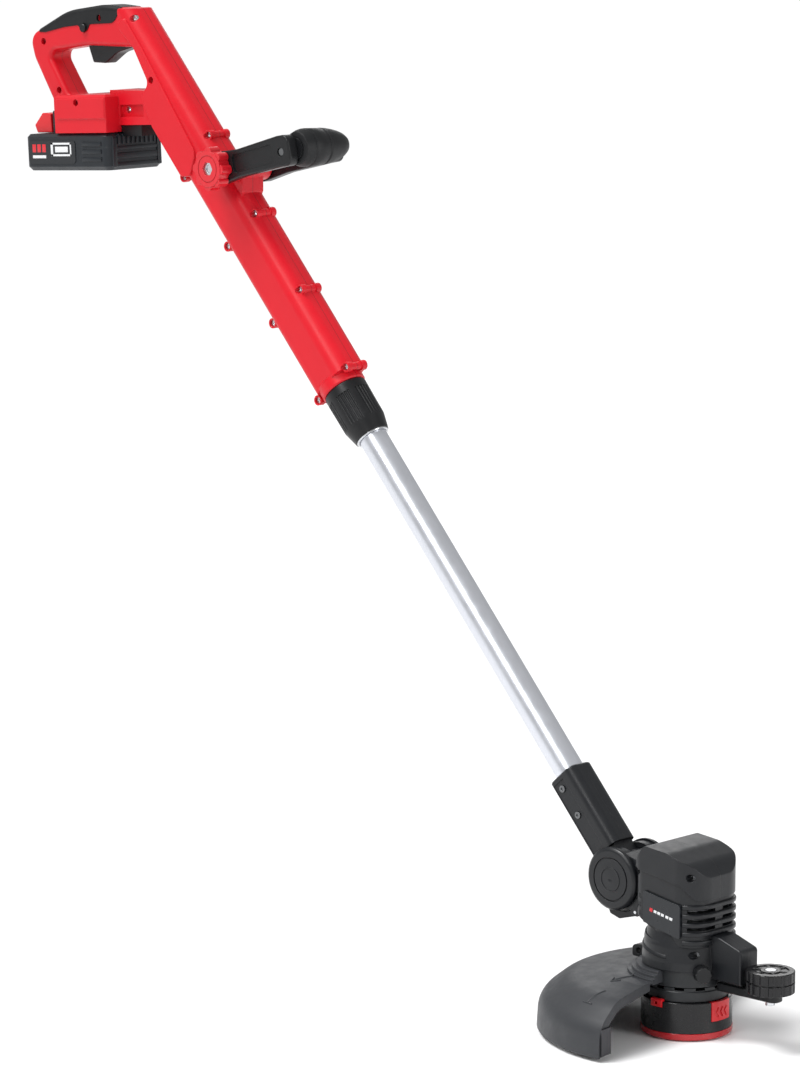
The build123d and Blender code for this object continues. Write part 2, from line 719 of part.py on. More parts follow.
def wheel_block():
    """Socket block in front of the neck for the guide wheel's arm."""
    corners = [(20, 57, 0), (73, 57, 1), (73, 88.5, 4), (47, 97, 3), (20, 97, 0)]
    socket_block = soft_sides(side_slab(corners, -12, 12), 1.5)
    return socket_block - rod_z(0, 0, 40, NECK_BOTTOM, 38.4)


def neck_ear():
    """Small open lug behind the neck, just above the guard."""
    corners = [(-38, 64.8, 0), (-46.6, 64.8, 0), (-46.6, 61.6, 0), (-50.6, 61.6, 0), (-50.6, 58.7, 0), (-62, 58.7, 2), (-62, 69, 4), (-38, 73, 0)]
    return side_slab(corners, -4.5, 4.5) - rod_y(-54.5, 64.2, -6, 6, 3.0)


def head_hollows():
    motor_bay = rod_z(0, 0, NECK_BOTTOM + 3, 160, 19.2)
    wide_bay = rod_z(0, 0, NECK_BOTTOM + 3, 94, 32.5)
    upper_bay = rod_z(0, 0, 97, 158, 31.0)
    shaft_hole = rod_z(0, 0, 50, 70, 8.0)
    barrel = rod_y(PIVOT_X, PIVOT_Z, -15, 15, 22.5)
    bolt = rod_y(PIVOT_X, PIVOT_Z, -40, 40, 5.0 + FIT)
    socket = block(48.5, 70.5, -7.2, 7.2, 50, 86.2)
    return [motor_bay, wide_bay, upper_bay, shaft_hole, barrel, bolt, socket, barrel_slot()]


def barrel_slot():
    """Sector cut from the barrel so that the sleeve's neck can swing."""
    reach = 46.0
    corners = [(PIVOT_X, PIVOT_Z, 0)]
    for angle in (-23, 12, 42, 72, 107):
        lean = math.radians(angle)
        corners.append((PIVOT_X - reach * math.sin(lean), PIVOT_Z + reach * math.cos(lean), 0))
    return side_slab(corners, -12.5, 12.5)


# Head screws: x, z, outer face (y), head (y) and length.
HEAD_SCREWS = [
    (29.0, 152.0, -36.0, -25.0, 8.0),
    (-31.5, 149.0, -36.0, -25.0, 8.0),
    (-33.0, 118.0, -36.0, -25.0, 8.0),
    (30.0, 80.0, -30.0, -20.0, 8.0),
]


def head_body():
    body = head_column() + head_neck() + wheel_block()
    for rib in front_ribs():
        body = body + rib
    barrel = rod_y(PIVOT_X, PIVOT_Z, -22, 22, 27.5)
    web = side_slab([(-69, 106.5, 0), (-30, 108, 0), (-30, 152, 0), (-69, 160.5, 0)], -22, 22)
    ears = side_slab([(-52, 108, 0), (-51, 101, 3), (-42, 101, 3), (-38, 112, 0)], -19.5, -16)
    body = body + barrel + web + ears + mirrored(ears) + neck_ear()
    for hollow in head_hollows() + vent_slots():
        body = body - hollow
    body = body - rod_y(-46.5, 104.5, -22, 22, 1.5)
    for x, z, y_face, y_head, length in HEAD_SCREWS:
        body = body - side_screw_room(x, z, y_face, y_head, length)
    for z in (109.0, 117.0, 125.0):
        body = body - block(-31, -25, -36, -33.6, z, z + 4)
    body = body - label_plate(0.0)
    return body


def label_plate(shrink):
    """Plain plate sunk into the housing's right side."""
    corners = [(-22 + shrink, 104, 2), (22 - shrink, 95, 2), (22 - shrink, 126, 2), (-22 + shrink, 133, 2)]
    return side_slab(corners, -36.5, -33.4 - shrink)


def pivot_disc():
    """Round cover over the end of the barrel, with a ring groove and a domed centre."""
    profile = [(0, 0, 0), (29.2, 0, 0), (29.2, 3.5, 2.5), (26.5, 5.5, 3), (0, 6.6, 0)]
    disc = lathe(profile)
    disc = disc - (rod_z(0, 0, 4.6, 8, 20.6) - rod_z(0, 0, 4.0, 9, 19.2))
    disc = disc - rod_z(0, 0, -1, 3.4, 9.0)
    return Pos(PIVOT_X, -22.2, PIVOT_Z) * Rot(90, 0, 0) * disc


def pivot_bolt():
    """Bolt and nut on which the head tilts."""
    shank = rod_y(PIVOT_X, PIVOT_Z, -22, 22, 5.0)
    ends = rod_y(PIVOT_X, PIVOT_Z, -25.2, -22.0, 8.0) + rod_y(PIVOT_X, PIVOT_Z, 22.0, 25.2, 8.0)
    return shank + ends


def pivot_pedal():
    """Release lever under the barrel."""
    corners = [(-82, 101.2, 1), (-80, 97, 2), (-69, 93.8, 3), (-43, 101.5, 2), (-43, 106.6, 2), (-50, 106.6, 1), (-60, 102.2, 2)]
    pedal = soft_sides(side_slab(corners, -15.6, 15.6), 0.8)
    return pedal - rod_y(-46.5, 104.5, -22, 22, 1.5 + FIT)


def motor_can():
    """Steel can of the electric motor."""
    can = rod_z(0, 0, 99, 154, 18.6) - rod_z(0, 0, 101, 152.5, 16.8)
    return can - rod_z(0, 0, 90, 160, 3.2)


def motor_magnets():
    """Two curved magnets inside the can."""
    ring = ring_z(108, 146, 15.6, 16.75)
    cut = block(-4, 4, -20, 20, 100, 160)
    halves = ring - cut
    return [halves & block(-30, 0, -30, 30, 0, 200), halves & block(0, 30, -30, 30, 0, 200)]


def motor_bearings():
    """Lower and upper bearing of the rotor shaft."""
    return [Pos(0, 0, z) * (Cylinder(7.8, 5) - Cylinder(2.5 + FIT, 6)) for z in (67.2, 157.0)]


def bearing_plate():
    """Dark ring under the neck that carries the lower bearing and the guard."""
    plate = rod_z(0, 0, 49.2, NECK_BOTTOM - 0.1, 38.0) - rod_z(0, 0, 40, 59.5, 34.5) - rod_z(0, 0, 40, 80, 8.0)
    return chamfer(plate.edges().filter_by(GeomType.CIRCLE).sort_by(Axis.Z)[:1], 0.4)


def head_screws():
    return [side_screw(x, z, y_head, length) for x, z, _, y_head, length in HEAD_SCREWS]


# ---------------------------------------------------------------- guard
def guard_region(inset):
    """Section of the guard's dome and skirt, filled to the axis."""
    corners = [
        (20, -5, 0),
        (20, 58 - inset, 0),
        (54 - inset, 58 - inset, 4),
        (110, 50.5 - inset, 30),
        (134.5 - inset, 31, 24),
        (GUARD_RADIUS - inset, 4, 0),
        (GUARD_RADIUS - inset, -5, 0),
    ]
    return outline(corners)


def guard():
    """Half-round guard behind the spool: stepped collar, dome, skirt and end flanges."""
    skin = guard_region(0) - guard_region(2.6)
    skin = skin & Pos(90, 30) * Rectangle(103, 52)
    collar = outline([(38.3, 53, 0), (54, 53, 0), (54, 58, 0.5), (50, 58, 0.5), (50, 61, 0.5), (46, 61, 0.5), (46, 63.9, 0.5), (38.3, 63.9, 0)])
    face = Plane.XZ * (skin + collar)
    body = Rot(0, 0, GUARD_START) * revolve(face, axis=Axis.Z, revolution_arc=GUARD_SWEEP)
    flange_corners = [
        (58, 56.6, 0),
        (110, 49.6, 30),
        (133.6, 31, 24),
        (GUARD_RADIUS - 0.9, 4.4, 0),
        (127, 4.4, 0),
        (126, 27, 18),
        (106, 42, 24),
        (58, 49, 0),
    ]
    flange_face = Plane.XZ * outline(flange_corners)
    rear_flange = extrude(flange_face, amount=2.8, dir=(0, 1, 0))
    front_flange = extrude(flange_face, amount=2.8, dir=(0, -1, 0))
    body = body + Rot(0, 0, GUARD_START) * rear_flange + Rot(0, 0, GUARD_START + GUARD_SWEEP) * front_flange
    for angle in (150.0, 240.0):
        body = body - Rot(0, 0, angle) * rod_z(44, 0, 50, 60.5, 1.6)
    return body


def guard_screws():
    """Two screws that hold the guard's collar from below."""
    screws = []
    for angle in (150.0, 240.0):
        screws.append(Rot(0, 0, angle) * (rod_z(44, 0, 51.2, 53, 3.2) + rod_z(44, 0, 52.9, 60, 1.6)))
    return screws


def line_cutter():
    """Steel blade on the guard's leading end that trims the line."""
    blade = block(119, 133.5, 0.05, 1.6, 5.5, 30)
    edge = Pos(119, 0.8, 19) * Rot(0, 0, 45) * Box(1.8, 1.8, 40)
    return Rot(0, 0, GUARD_START + GUARD_SWEEP) * (blade - edge)


# ---------------------------------------------------------------- guide wheel
def wheel_arm():
    """Arm that plugs into the block and carries the guide wheel."""
    plan = [(42, -10, 3), (WHEEL_X - 4, -8, 6), (WHEEL_X + 11, -8, 7), (WHEEL_X + 11, 8, 7), (WHEEL_X - 4, 8, 6), (42, 10, 3)]
    arm = soft_ends(plan_slab(plan, 46.8, 54.3), 1.2)
    post = block(49, 70, -6.9, 6.9, 53, 86)
    return arm + post - rod_z(WHEEL_X, 0, 40, 60, 3.5)


def wheel_axle():
    """Pin with a light cap, its split tip under the arm."""
    pin = rod_z(WHEEL_X, 0, 44.0, 73.4, 3.5)
    cap = rod_z(WHEEL_X, 0, 73.3, 75.2, 5.0)
    tip = rod_z(WHEEL_X, 0, 42.8, 46.6, 4.4) - block(WHEEL_X - 6, WHEEL_X + 6, -0.7, 0.7, 42, 46)
    return pin + cap + tip


def guide_wheel():
    """Toothed wheel in two tiers with a raised rim."""
    x = WHEEL_X
    body = soft_ends(rod_z(0, 0, WHEEL_BOTTOM, WHEEL_TOP, WHEEL_RADIUS), 1.0)
    for tooth in range(18):
        body = body - Rot(0, 0, tooth * 20) * rod_z(WHEEL_RADIUS + 1.6, 0, 50, 80, 2.7)
    body = body - (rod_z(0, 0, 64.2, 66.0, 30) - rod_z(0, 0, 60, 70, WHEEL_RADIUS - 1.8))
    body = body - (rod_z(0, 0, WHEEL_TOP - 1.0, 80, 16.5) - rod_z(0, 0, 60, 80, 9.0))
    body = body - rod_z(0, 0, WHEEL_TOP - 2.2, 80, 5.6) - rod_z(0, 0, 50, 80, 3.5 + FIT)
    return Pos(x, 0, 0) * body


def clamp_knob():
    """Ribbed screw knob that locks the wheel's arm."""
    knob = Cylinder(7.6, 9)
    for rib in range(10):
        knob = knob - Rot(0, 0, rib * 36) * Pos(8.6, 0, 0) * Cylinder(1.5, 20)
    knob = chamfer(knob.faces().sort_by(Axis.Z)[-1].edges().filter_by(GeomType.CIRCLE), 0.6)
    return Rot(0, 0, -32) * Pos(46.6, 0, 63.8) * Rot(0, 90, 0) * knob


# ---------------------------------------------------------------- spool
def rotor_shaft():
    """Motor shaft with its armature, which drives the spool directly."""
    return rod_z(0, 0, 37, 159, 2.5) + rod_z(0, 0, 110, 144, 14.8) + rod_z(0, 0, 146, 151, 5.5)


def spool_hub():
    """Driven disc above the cup, with fan notches around its top."""
    disc = rod_z(0, 0, 36.0, 45.4, CAP_RADIUS + 0.3)
    disc = fillet(disc.edges().filter_by(GeomType.CIRCLE).sort_by(Axis.Z)[-1:], 1.0)
    crown = ring_z(45.3, 48.6, 30.5, 37.0)
    for notch in range(12):
        crown = crown - Rot(0, 0, notch * 30) * block(25, 45, -4.4, 4.4, 46.2, 50)
    core = rod_z(0, 0, 34.2, 49, 9)
    return disc + crown + core - rod_z(0, 0, 38, 50, 2.5) - ring_z(34, 40, 14, 34)


def latch_window(angle):
    return Rot(0, 0, angle) * block(30, 50, -12.2, 12.2, 17.2, 40)


def eyelet_window(angle):
    return Rot(0, 0, angle) * block(30, 50, -6.6, 6.6, 30.0, 40)


def spool_cup():
    """Black cover of the line reel, with windows for latches and eyelets."""
    profile = [(38.4, CUP_BOTTOM, 0), (CUP_RADIUS, CUP_BOTTOM, 0.4), (CUP_RADIUS, CUP_TOP, 0.8), (38.4, CUP_TOP, 0)]
    cup = lathe(profile)
    lip = ring_z(31.8, 35.4, 36.2, 38.5)
    cup = cup + lip
    for angle in (0, 180):
        cup = cup - latch_window(angle)
    for angle in (90, 270):
        cup = cup - eyelet_window(angle)
    return cup


def cup_ring():
    """Red ring under the cup's lower rim."""
    return lathe([(38.4, 0.9, 0), (40.6, 0.9, 1.0), (41.9, 2.4, 1.0), (41.9, CUP_BOTTOM, 0.3), (38.4, CUP_BOTTOM, 0)])


def cup_sector(inner, outer, half_width, z_from, z_to):
    """Curved plate on the cup's wall, facing +X."""
    return ring_z(z_from, z_to, inner, outer) & block(0, 60, -half_width, half_width, 0, 60)


def latch():
    """Squeeze tab with three chevrons pressed into its face."""
    tab = cup_sector(38.6, 42.1, 11.8, 17.6, 35.4)
    hook = cup_sector(35.5, 38.8, 7.0, 20.0, 26.0)
    for index in range(3):
        y = -6.5 + index * 5.4
        for half in (-1, 1):
            bar = Pos(41.9, y + 0.2, 25.6 + half * 2.1) * Rot(half * -35, 0, 0) * Box(1.8, 1.9, 5.8)
            tab = tab - bar
    return tab + hook


def eyelet():
    """Metal-lined guide through which the line leaves."""
    body = cup_sector(38.6, 42.6, 6.2, 30.4, 37.6)
    return body - Pos(40, 0, 33.6) * Rot(0, 90, 0) * Cylinder(1.6, 12)


def line_reel():
    """Reel inside the cup, open in the middle for the spring."""
    reel = ring_z(9.0, 30.5, 12.0, 15.0) + ring_z(9.0, 10.6, 14.5, 33.5) + ring_z(28.9, 30.5, 14.5, 33.5)
    return reel + ring_z(9.0, 10.6, 8.0, 12.5)


def line_winding():
    """Wound cutting line."""
    return soft_ends(ring_z(10.9, 28.6, 15.05, 29.5), 2.0)


def reel_spring():
    return ring_z(11.0, 34.0, 9.4, 11.2)


def bump_cap():
    """Red cap under the cup that feeds line when it is tapped on the ground."""
    return lathe([(0, 0, 0), (24, 0, 0), (35.6, 1.3, 3), (CAP_RADIUS, 4.2, 0.5), (CAP_RADIUS, 8.7, 0), (0, 8.7, 0)])


# ---------------------------------------------------------------- assembly
def build():
    parts = {}
    housing, overmold, screws = handle_parts()
    parts["handle_shell_right"] = right_half(housing)
    parts["handle_shell_left"] = left_half(housing)
    parts["grip_overmold"] = overmold
    parts["handle_screws"] = screws
    parts["main_switch"] = switch_box()
    parts["trigger_spring"] = trigger_spring()
    parts["trigger_pin"] = rod_y(TRIGGER_PIN_X, TRIGGER_PIN_Z, -12.5, 12.5, 2.0)
    parts["trigger"] = trigger()
    parts["lock_off_button"] = lock_off_button()
    parts["dock_terminal_block"] = terminal_block()
    parts["dock_contact_blades"] = terminal_blades()
    parts["tube_collet"] = tube_collet()
    parts["twist_collar"] = twist_collar()
    parts["shaft_lock_button"] = shaft_lock_button()
    parts["aux_handle_bolt"] = aux_bolt()
    parts["aux_handle_frame"] = aux_frame()
    parts["aux_handle_grip"] = aux_grip()
    parts["aux_handle_screws"] = aux_screws()
    parts["aux_knob"] = aux_knob()
    parts["aux_knob_nut"] = aux_nut()
    parts["battery_case_lower"] = pack_lower()
    parts["battery_case_upper"] = pack_upper()
    parts["battery_cells"] = pack_cells()
    parts["battery_board"] = pack_board()
    parts["battery_terminals"] = pack_terminals()
    parts["battery_labels"] = pack_labels()
    parts["battery_release_button"] = release_button()
    parts["guide_bush"] = guide_bush()
    parts["shaft_tube"] = shaft_tube()
    parts["sleeve_right"] = right_half(sleeve())
    parts["sleeve_left"] = left_half(sleeve())
    parts["sleeve_screws"] = sleeve_screws()
    parts["pivot_bolt"] = [pivot_bolt(), rod_y(-46.5, 104.5, -19.4, 19.4, 1.5)]
    head = head_body()
    parts["motor_housing_right"] = right_half(head)
    parts["motor_housing_left"] = left_half(head)
    parts["pivot_disc_right"] = pivot_disc()
    parts["pivot_disc_left"] = mirrored(pivot_disc())
    parts["pivot_pedal"] = pivot_pedal()
    parts["motor_label"] = label_plate(0.2)
    parts["motor_stator"] = [motor_can()] + motor_magnets()
    parts["rotor_bearings"] = motor_bearings()
    parts["bearing_plate"] = bearing_plate()
    parts["head_screws"] = head_screws() + guard_screws()
    parts["guard"] = guard()
    parts["line_cutter"] = line_cutter()
    parts["wheel_arm"] = wheel_arm()
    parts["wheel_axle"] = wheel_axle()
    parts["wheel_clamp_knob"] = clamp_knob()
    parts["guide_wheel"] = guide_wheel()
    parts["rotor_shaft"] = rotor_shaft()
    parts["spool_hub"] = spool_hub()
    parts["spool_cup"] = spool_cup()
    parts["cup_ring"] = cup_ring()
    parts["line_eyelets"] = [Rot(0, 0, 90) * eyelet(), Rot(0, 0, 270) * eyelet()]
    parts["latch_front"] = latch()
    parts["latch_rear"] = Rot(0, 0, 180) * latch()
    parts["line_reel"] = line_reel()
    parts["line_winding"] = line_winding()
    parts["reel_spring"] = reel_spring()
    parts["bump_cap"] = bump_cap()
    return parts


def write(parts):
    for name, shape in parts.items():
        pieces = shape if isinstance(shape, list) else [shape]
        solids = []
        for piece in pieces:
            solids.extend(piece.solids())
        whole = solids[0] if len(solids) == 1 else Compound(children=solids)
        export_step(whole, f"parts/{name}.step")


write(build())
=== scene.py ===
import math

import bmesh
import bpy
from mathutils import Matrix, Vector
from mathutils.bvhtree import BVHTree


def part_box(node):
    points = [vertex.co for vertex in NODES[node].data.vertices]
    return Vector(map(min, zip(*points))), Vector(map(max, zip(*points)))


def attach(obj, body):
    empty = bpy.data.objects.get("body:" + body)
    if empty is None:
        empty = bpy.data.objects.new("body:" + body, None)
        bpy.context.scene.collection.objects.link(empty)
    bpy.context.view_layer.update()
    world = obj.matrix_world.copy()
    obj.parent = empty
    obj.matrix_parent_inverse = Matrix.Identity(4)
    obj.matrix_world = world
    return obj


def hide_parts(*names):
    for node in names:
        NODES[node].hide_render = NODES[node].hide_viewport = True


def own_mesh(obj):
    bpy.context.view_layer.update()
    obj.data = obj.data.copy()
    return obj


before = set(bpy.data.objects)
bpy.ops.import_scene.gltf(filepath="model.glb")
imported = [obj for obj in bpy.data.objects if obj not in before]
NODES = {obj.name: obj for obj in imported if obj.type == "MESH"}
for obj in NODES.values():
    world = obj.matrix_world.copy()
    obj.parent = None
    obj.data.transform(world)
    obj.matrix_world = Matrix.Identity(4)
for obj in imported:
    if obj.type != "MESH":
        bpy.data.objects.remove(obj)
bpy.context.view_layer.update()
MM = 0.001

# Frames shared with the CAD model: the shaft leans back, and the battery's rail is pitched.
SHAFT_LEAN = math.radians(42.0)
PIVOT = Vector((-69.0, 0.0, 133.0)) * MM
SHAFT = Matrix.Translation(PIVOT) @ Matrix.Rotation(-SHAFT_LEAN, 4, "Y")
DOCK_PITCH = math.radians(3.5)
DOCK = Matrix.Translation(Vector((-798.0, 0.0, 771.3)) * MM) @ Matrix.Rotation(-DOCK_PITCH, 4, "Y")
WHEEL = Matrix.Translation((98.0, 0, 0))
SIDES = (-1, 1)


# ---------------------------------------------------------------- mesh helpers
def new_piece(name, bm, place=None, smooth=35.0):
    """Make an object from a bmesh in millimetres, laid out by the matrix place."""
    bmesh.ops.recalc_face_normals(bm, faces=bm.faces)
    mesh = bpy.data.meshes.new(name)
    bm.to_mesh(mesh)
    bm.free()
    mesh.transform(Matrix.Scale(MM, 4))
    if place is not None:
        mesh.transform(place)
    for face in mesh.polygons:
        face.use_smooth = True
    mesh.set_sharp_from_angle(angle=math.radians(smooth))
    piece = bpy.data.objects.new(name, mesh)
    bpy.context.scene.collection.objects.link(piece)
    return piece


def add_lathe(bm, profile, steps=96):
    """Turn a closed (radius, height) profile about the vertical axis."""
    rings = []
    for step in range(steps):
        angle = 2 * math.pi * step / steps
        ring = []
        for radius, height in profile:
            across = radius * math.cos(angle)
            along = radius * math.sin(angle)
            ring.append(bm.verts.new((across, along, height)))
        rings.append(ring)
    count = len(profile)
    for step in range(steps):
        here, there = rings[step], rings[(step + 1) % steps]
        for index in range(count):
            after = (index + 1) % count
            bm.faces.new((here[index], there[index], there[after], here[after]))


def add_box(bm, low, high, bevel=0.0, turn=None):
    """Box between two corners, its edges rounded by bevel."""
    made = bmesh.ops.create_cube(bm, size=1.0)["verts"]
    size = Vector(high) - Vector(low)
    middle = (Vector(high) + Vector(low)) / 2
    for vert in made:
        vert.co = Vector((vert.co.x * size.x, vert.co.y * size.y, vert.co.z * size.z)) + middle
    if turn is not None:
        for vert in made:
            vert.co = turn @ vert.co
    if bevel > 0:
        edges = list({edge for vert in made for edge in vert.link_edges})
        bmesh.ops.bevel(bm, geom=edges, offset=bevel, segments=2, affect="EDGES", profile=0.6)


def add_tube(bm, points, radius, sides=10, closed=False):
    """Sweep a round section along a list of points, with capped ends when open."""
    path = [Vector(point) for point in points]
    count = len(path)
    rings = []
    normal = None
    for index, here in enumerate(path):
        ahead = path[(index + 1) % count] if closed or index + 1 < count else here
        behind = path[index - 1] if closed or index > 0 else here
        tangent = (ahead - behind).normalized()
        if normal is None:
            guide = Vector((0, 0, 1)) if abs(tangent.z) < 0.9 else Vector((1, 0, 0))
            normal = tangent.cross(guide).normalized()
        normal = (normal - tangent * normal.dot(tangent)).normalized()
        across = tangent.cross(normal)
        ring = []
        for side in range(sides):
            angle = 2 * math.pi * side / sides
            outward = math.cos(angle) * normal + math.sin(angle) * across
            ring.append(bm.verts.new(here + radius * outward))
        rings.append(ring)
    last = count if closed else count - 1
    for index in range(last):
        here, there = rings[index], rings[(index + 1) % count]
        for side in range(sides):
            after = (side + 1) % sides
            bm.faces.new((here[side], here[after], there[after], there[side]))
    if not closed:
        bm.faces.new(list(reversed(rings[0])))
        bm.faces.new(rings[-1])


def helix(radius, low, high, turns, steps=28):
    """Points along a coil between two heights."""
    total = int(turns * steps)
    points = []
    for step in range(total + 1):
        share = step / total
        angle = 2 * math.pi * turns * share
        height = low + (high - low) * share
        points.append((radius * math.cos(angle), radius * math.sin(angle), height))
    return points


def put(piece, body, material, replaces=()):
    """Give a piece its body and material, and hide the CAD nodes it stands for."""
    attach(piece, body)
    piece.data.materials.clear()
    piece.data.materials.append(material)
    if replaces:
        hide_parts(*replaces)
    return piece


# ---------------------------------------------------------------- materials
class Graph:
    """Small helper for building a node tree."""

    def __init__(self, name):
        self.material = bpy.data.materials.new(name)
        self.material.use_nodes = True
        self.tree = self.material.node_tree
        self.tree.nodes.clear()
        self.out = self.add("ShaderNodeOutputMaterial")
        self.shader = self.add("ShaderNodeBsdfPrincipled")
        self.link(self.shader, "BSDF", self.out, "Surface")
        self.coords = self.add("ShaderNodeTexCoord")

    def add(self, kind, **values):
        node = self.tree.nodes.new(kind)
        for key, value in values.items():
            setattr(node, key, value)
        return node

    def link(self, source, output, target, socket):
        self.tree.links.new(source.outputs[output], target.inputs[socket])

    def noise(self, scale, detail=2.0, stretch=None, turn=0.0, roughness=0.5):
        node = self.add("ShaderNodeTexNoise")
        node.inputs["Scale"].default_value = scale
        node.inputs["Detail"].default_value = detail
        node.inputs["Roughness"].default_value = roughness
        if stretch is None:
            self.link(self.coords, "Object", node, "Vector")
        else:
            mapping = self.add("ShaderNodeMapping", vector_type="TEXTURE")
            mapping.inputs["Rotation"].default_value = (0.0, turn, 0.0)
            mapping.inputs["Scale"].default_value = stretch
            self.link(self.coords, "Object", mapping, "Vector")
            self.link(mapping, "Vector", node, "Vector")
        return node

    def mix(self, first, second):
        node = self.add("ShaderNodeMix", data_type="RGBA")
        for index, value in ((6, first), (7, second)):
            if isinstance(value, tuple):
                node.inputs[index].default_value = (*value, 1.0)
            else:
                self.tree.links.new(value, node.inputs[index])
        return node

    def spread(self, source, output, low, high, to_low, to_high):
        node = self.add("ShaderNodeMapRange")
        limits = {"From Min": low, "From Max": high, "To Min": to_low, "To Max": to_high}
        for socket, value in limits.items():
            node.inputs[socket].default_value = value
        self.link(source, output, node, "Value")
        return node

    def math(self, operation, first, second):
        node = self.add("ShaderNodeMath", operation=operation)
        for index, value in ((0, first), (1, second)):
            if isinstance(value, (int, float)):
                node.inputs[index].default_value = value
            else:
                self.tree.links.new(value, node.inputs[index])
        return node


def scaled(colour, factor):
    return tuple(min(1.0, channel * factor) for channel in colour)


def surface(name, colour, rough, metallic=0.0, vary=0.12, grain=0.12, grain_scale=2600.0, edge=0.0005,
            wear=1.5, seam=False, coat=0.0, brush=None, blotch=38.0, speck=0.0, gloss=0.5):
    """Moulded or machined finish: tone variation, fine texture, rounded and lightly worn edges."""
    graph = Graph(name)
    shader = graph.shader
    shader.inputs["Metallic"].default_value = metallic
    shader.inputs["Specular IOR Level"].default_value = gloss
    shader.inputs["Coat Weight"].default_value = coat
    shader.inputs["Coat Roughness"].default_value = 0.2
    broad = graph.noise(blotch, detail=4.0)
    tone = graph.mix(scaled(colour, 1 - vary), scaled(colour, 1 + vary))
    graph.link(broad, "Fac", tone, 0)
    bevel = graph.add("ShaderNodeBevel", samples=4)
    bevel.inputs["Radius"].default_value = edge
    geometry = graph.add("ShaderNodeNewGeometry")
    dot = graph.add("ShaderNodeVectorMath", operation="DOT_PRODUCT")
    graph.link(bevel, "Normal", dot, 0)
    graph.link(geometry, "Normal", dot, 1)
    worn = graph.spread(dot, "Value", 0.97, 0.80, 0.0, 0.45)
    patchy = graph.math("MULTIPLY", worn.outputs[0], broad.outputs["Fac"])
    edged = graph.mix(tone.outputs[2], scaled(colour, wear))
    graph.link(patchy, "Value", edged, 0)
    colour_out = edged.outputs[2]
    if speck > 0:
        dots = graph.noise(1500.0, detail=1.0)
        share = graph.spread(dots, "Fac", 0.66, 0.72, 0.0, speck)
        dusty = graph.mix(colour_out, scaled(colour, 1.9))
        graph.link(share, "Result", dusty, 0)
        colour_out = dusty.outputs[2]
    if brush is None:
        fine = graph.noise(grain_scale, detail=2.0)
    else:
        fine = graph.noise(420.0, 3.0, brush, -SHAFT_LEAN)
    height = fine.outputs["Fac"]
    if seam:
        split = graph.add("ShaderNodeSeparateXYZ")
        graph.link(graph.coords, "Object", split, "Vector")
        side = graph.math("ABSOLUTE", split.outputs["Y"], 0.0)
        groove = graph.spread(side, "Value", 0.00012, 0.00034, 0.0, 1.0)
        dark = graph.mix(scaled(colour, 0.28), colour_out)
        graph.link(groove, "Result", dark, 0)
        colour_out = dark.outputs[2]
    graph.tree.links.new(colour_out, shader.inputs["Base Color"])
    bump = graph.add("ShaderNodeBump")
    bump.inputs["Strength"].default_value = grain
    bump.inputs["Distance"].default_value = 0.00025
    graph.tree.links.new(height, bump.inputs["Height"])
    graph.link(bevel, "Normal", bump, "Normal")
    graph.link(bump, "Normal", shader, "Normal")
    smudge = graph.noise(90.0, detail=5.0, roughness=0.6)
    finish = graph.spread(smudge, "Fac", 0.3, 0.7, rough * 0.86, min(1.0, rough * 1.16))
    graph.link(finish, "Result", shader, "Roughness")
    return graph.material


LOOK = {}
RED = (0.60, 0.006, 0.016)
SOOT = (0.006, 0.0065, 0.0075)
CHARCOAL = (0.008, 0.009, 0.011)


def add_look(name, colour, rough, **rest):
    """Make one material and keep it under its name."""
    LOOK[name] = surface(name, colour, rough, **rest)


add_look("red_shell", RED, 0.38, vary=0.05, grain=0.07, edge=0.0008, wear=1.2, seam=True, gloss=0.32)
add_look("red_plain", RED, 0.34, vary=0.05, grain=0.07, edge=0.0006, wear=1.2, gloss=0.5, coat=0.1)
add_look("red_trim", (0.62, 0.006, 0.012), 0.34, vary=0.06, grain=0.06, wear=1.2, coat=0.1)
add_look("red_cap", (0.42, 0.003, 0.008), 0.24, vary=0.08, grain=0.04, wear=1.5, coat=0.3)
add_look("soft_black", SOOT, 0.50, vary=0.2, grain=0.3, grain_scale=1900.0,
         edge=0.0009, wear=2.2, speck=0.12, gloss=0.32)
add_look("black", SOOT, 0.38, vary=0.15, grain=0.14, wear=2.4, gloss=0.34)
add_look("head", CHARCOAL, 0.36, vary=0.14, grain=0.2, edge=0.0009, wear=2.4,
         seam=True, gloss=0.38)
add_look("head_plain", CHARCOAL, 0.35, vary=0.14, grain=0.18, edge=0.0007, wear=2.4,
         gloss=0.38)
add_look("hub", (0.018, 0.020, 0.022), 0.42, vary=0.14, grain=0.22, wear=1.9, gloss=0.4)
add_look("cup", (0.006, 0.006, 0.007), 0.27, vary=0.15, grain=0.06, edge=0.0006, wear=2.4,
         gloss=0.35, coat=0.08)
add_look("guard", (0.031, 0.033, 0.037), 0.48, vary=0.08, grain=0.12, edge=0.0007, wear=1.7,
         speck=0.08, gloss=0.4)
add_look("pack", (0.009, 0.012, 0.016), 0.38, vary=0.14, grain=0.18, edge=0.0007, wear=2.2,
         gloss=0.38)
add_look("label", (0.012, 0.014, 0.017), 0.30, vary=0.08, grain=0.02, edge=0.0003, wear=1.6,
         gloss=0.4)
add_look("board", (0.012, 0.085, 0.035), 0.38, vary=0.3, grain=0.2, edge=0.0002, blotch=500.0)
add_look("tube", (0.69, 0.71, 0.76), 0.32, metallic=0.88, vary=0.03, grain=0.10, edge=0.0003,
         wear=1.1, brush=(1.0, 1.0, 60.0), blotch=12.0)
add_look("cell", (0.42, 0.46, 0.50), 0.32, metallic=0.6, vary=0.1, grain=0.05, wear=1.3)
add_look("motor", (0.50, 0.51, 0.53), 0.34, metallic=1.0, vary=0.1, grain=0.15, wear=1.3)
add_look("blade", (0.05, 0.05, 0.055), 0.36, metallic=0.8, vary=0.15, grain=0.2, wear=2.4)
